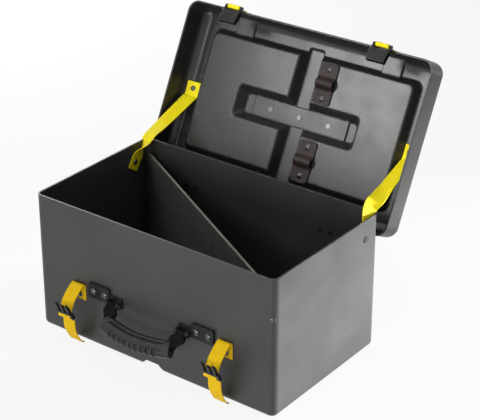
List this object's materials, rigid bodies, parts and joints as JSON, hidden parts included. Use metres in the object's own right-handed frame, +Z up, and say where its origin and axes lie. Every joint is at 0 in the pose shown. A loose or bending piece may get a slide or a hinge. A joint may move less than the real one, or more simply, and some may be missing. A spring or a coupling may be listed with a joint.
{
  "type": "hard case with latches and a hinged lid",
  "caption": "Dark moulded hard case with an open hinged lid, yellow webbing stays and latches, side-release buckles and a carrying handle.",
  "frame": {"origin": "centre of the tub's underside, at the level it stands on", "axes": "+X along the length to the right as seen from the front, +Y towards the hinges, +Z up"},
  "size_m": [0.494, 0.5125, 0.4649],
  "materials": {
    "shell_plastic": "satin",
    "webbing": "woven",
    "rivet_black": "gloss",
    "buckle_plastic": "semi gloss",
    "hinge_steel": "satin",
    "holder_leather": "smooth",
    "divider_board": "satin",
    "grip_plastic": "moulded",
    "plate_blank": "plain"
  },
  "bodies": {
    "base": {"base_shell": "shell_plastic", "divider_panel": "divider_board", "divider_bracket_front": "buckle_plastic", "divider_bracket_back": "buckle_plastic", "divider_rivets": "rivet_black", "handle_bracket_left": "buckle_plastic", "handle_bracket_right": "buckle_plastic", "handle_bracket_rivets": "rivet_black", "handle_pins": "hinge_steel", "latch_anchor_left": "webbing", "latch_anchor_right": "webbing", "latch_rivets": "rivet_black", "stay_base_rivets": "rivet_black", "hinge_base_leaf_left": "hinge_steel", "hinge_base_leaf_right": "hinge_steel", "hinge_pin_left": "hinge_steel", "hinge_pin_right": "hinge_steel", "hinge_base_rivets": "rivet_black"},
    "lid": {"lid_shell": "shell_plastic", "hinge_lid_leaf_left": "hinge_steel", "hinge_lid_leaf_right": "hinge_steel", "hinge_lid_rivets": "rivet_black", "lid_webbing_left": "webbing", "lid_webbing_right": "webbing", "lid_webbing_rivets": "rivet_black", "holder_loop_upper": "holder_leather", "holder_loop_lower": "holder_leather", "holder_rivets": "rivet_black", "badge_plate": "plate_blank", "badge_rivets": "hinge_steel", "stay_lid_rivets": "rivet_black", "stay_strap_left": "webbing", "stay_strap_right": "webbing"},
    "handle": {"handle_core": "buckle_plastic", "handle_grip": "grip_plastic"},
    "latch_left": {"latch_strap_left": "webbing"},
    "male_left": {"male_buckle_left": "buckle_plastic", "latch_tail_left": "webbing"},
    "female_left": {"female_buckle_left": "buckle_plastic"},
    "latch_right": {"latch_strap_right": "webbing"},
    "male_right": {"male_buckle_right": "buckle_plastic", "latch_tail_right": "webbing"},
    "female_right": {"female_buckle_right": "buckle_plastic"}
  },
  "joints": [
    {"name": "lid_hinge", "type": "hinge", "parent": "base", "child": "lid", "pos_m": [0, 0.14325, 0.19745], "axis": [1, 0, 0], "range_deg": [0, 116.7], "deforming": ["stay_strap_left", "stay_strap_right"]},
    {"name": "handle_swing", "type": "hinge", "parent": "base", "child": "handle", "pos_m": [0, -0.1505, 0.098], "axis": [-1, 0, 0], "range_deg": [0, 100]},
    {"name": "latch_left_swing", "type": "hinge", "parent": "base", "child": "latch_left", "pos_m": [-0.15, -0.1449, 0.104], "axis": [-1, 0, 0], "range_deg": [0, 135.2]},
    {"name": "male_left_pivot", "type": "hinge", "parent": "latch_left", "child": "male_left", "pos_m": [-0.15, -0.17652, 0.06353], "axis": [1, 0, 0], "range_deg": [0, 111.3]},
    {"name": "female_left_fold", "type": "hinge", "parent": "lid", "child": "female_left", "pos_m": [-0.15, 0.27416, 0.46096], "axis": [1, 0, 0], "range_deg": [-70.6, 0]},
    {"name": "latch_right_swing", "type": "hinge", "parent": "base", "child": "latch_right", "pos_m": [0.15, -0.1449, 0.104], "axis": [-1, 0, 0], "range_deg": [0, 135.2]},
    {"name": "male_right_pivot", "type": "hinge", "parent": "latch_right", "child": "male_right", "pos_m": [0.15, -0.17652, 0.06353], "axis": [1, 0, 0], "range_deg": [0, 111.3]},
    {"name": "female_right_fold", "type": "hinge", "parent": "lid", "child": "female_right", "pos_m": [0.15, 0.27416, 0.46096], "axis": [1, 0, 0], "range_deg": [-70.6, 0]}
  ],
  "couplings": [
    {"joint": "male_left_pivot", "follows": "latch_left_swing", "ratio": 0.82248},
    {"joint": "female_left_fold", "follows": "lid_hinge", "ratio": -0.60411},
    {"joint": "male_right_pivot", "follows": "latch_right_swing", "ratio": 0.82248},
    {"joint": "female_right_fold", "follows": "lid_hinge", "ratio": -0.60411}
  ]
}
